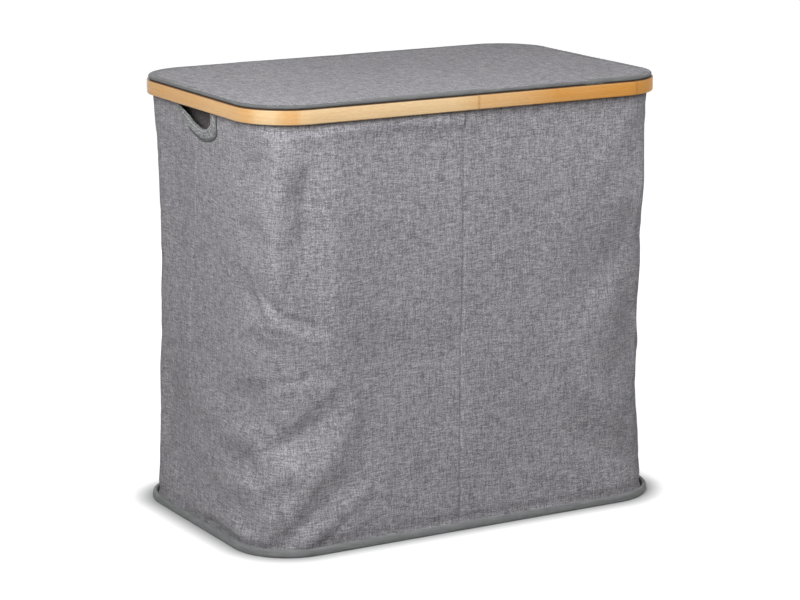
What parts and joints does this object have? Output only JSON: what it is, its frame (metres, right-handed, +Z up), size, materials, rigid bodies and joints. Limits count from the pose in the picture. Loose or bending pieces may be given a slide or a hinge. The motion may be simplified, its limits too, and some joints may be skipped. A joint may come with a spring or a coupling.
{
  "type": "laundry hamper with two bins",
  "caption": "Free-standing laundry hamper: cloth body hung from a bent bamboo hoop, cloth-hinged lid, divider and lift-out bags.",
  "frame": {"origin": "on the floor, under the middle of the base", "axes": "+Z up, +X along the width towards the right bin, -Y towards the front, so the lid hinges at +Y"},
  "size_m": [0.662, 0.412, 0.6137],
  "materials": {
    "bamboo": "clear satin lacquer over bent bamboo strip",
    "cloth": "grey melange linen-look polyester",
    "binding": "plain grey woven tape",
    "bag_cloth": "dark charcoal polyester",
    "webbing": "dark woven webbing",
    "board": "raw hardboard",
    "fibreglass": "off-white fibreglass rod",
    "plastic": "black moulded cap",
    "steel": "bare staple wire"
  },
  "bodies": {
    "hamper": {"bamboo_hoop": "bamboo", "top_hem_tape": "binding", "staple_1": "steel", "staple_2": "steel", "staple_3": "steel", "staple_4": "steel", "staple_5": "steel", "staple_6": "steel", "staple_7": "steel", "staple_8": "steel", "wall_front_left": "cloth", "wall_front_right": "cloth", "wall_rear_left": "cloth", "wall_rear_right": "cloth", "handle_binding_left": "binding", "handle_binding_right": "binding", "bottom_piping": "binding", "base_cover": "cloth", "base_board_left": "board", "base_board_right": "board", "divider_panel": "bag_cloth", "divider_binding": "binding", "rod_front_left": "fibreglass", "rod_front_right": "fibreglass", "rod_rear_left": "fibreglass", "rod_rear_right": "fibreglass", "rod_cap_low_front_left": "plastic", "rod_cap_low_front_right": "plastic", "rod_cap_low_rear_left": "plastic", "rod_cap_low_rear_right": "plastic", "rod_cap_top_front_left": "plastic", "rod_cap_top_front_right": "plastic", "rod_cap_top_rear_left": "plastic", "rod_cap_top_rear_right": "plastic", "rod_sleeve_front_left": "cloth", "rod_sleeve_front_right": "cloth", "rod_sleeve_rear_left": "cloth", "rod_sleeve_rear_right": "cloth", "bag_left_body": "bag_cloth", "bag_left_bottom": "bag_cloth", "bag_left_hem": "bag_cloth", "bag_left_strap_front": "webbing", "bag_left_strap_rear": "webbing", "bag_left_tab_front": "webbing", "bag_left_tab_rear": "webbing", "bag_right_body": "bag_cloth", "bag_right_bottom": "bag_cloth", "bag_right_hem": "bag_cloth", "bag_right_strap_front": "webbing", "bag_right_strap_rear": "webbing", "bag_right_tab_front": "webbing", "bag_right_tab_rear": "webbing", "lid_hinge_cloth": "cloth"},
    "lid": {"lid_underside_cloth": "cloth", "lid_board": "board", "lid_top_cloth": "cloth", "lid_binding": "binding"}
  },
  "joints": [
    {"name": "lid_hinge", "type": "hinge", "parent": "hamper", "child": "lid", "pos_m": [0, 0.208, 0.60845], "axis": [-1, 0, 0], "range_deg": [0, 240]}
  ]
}
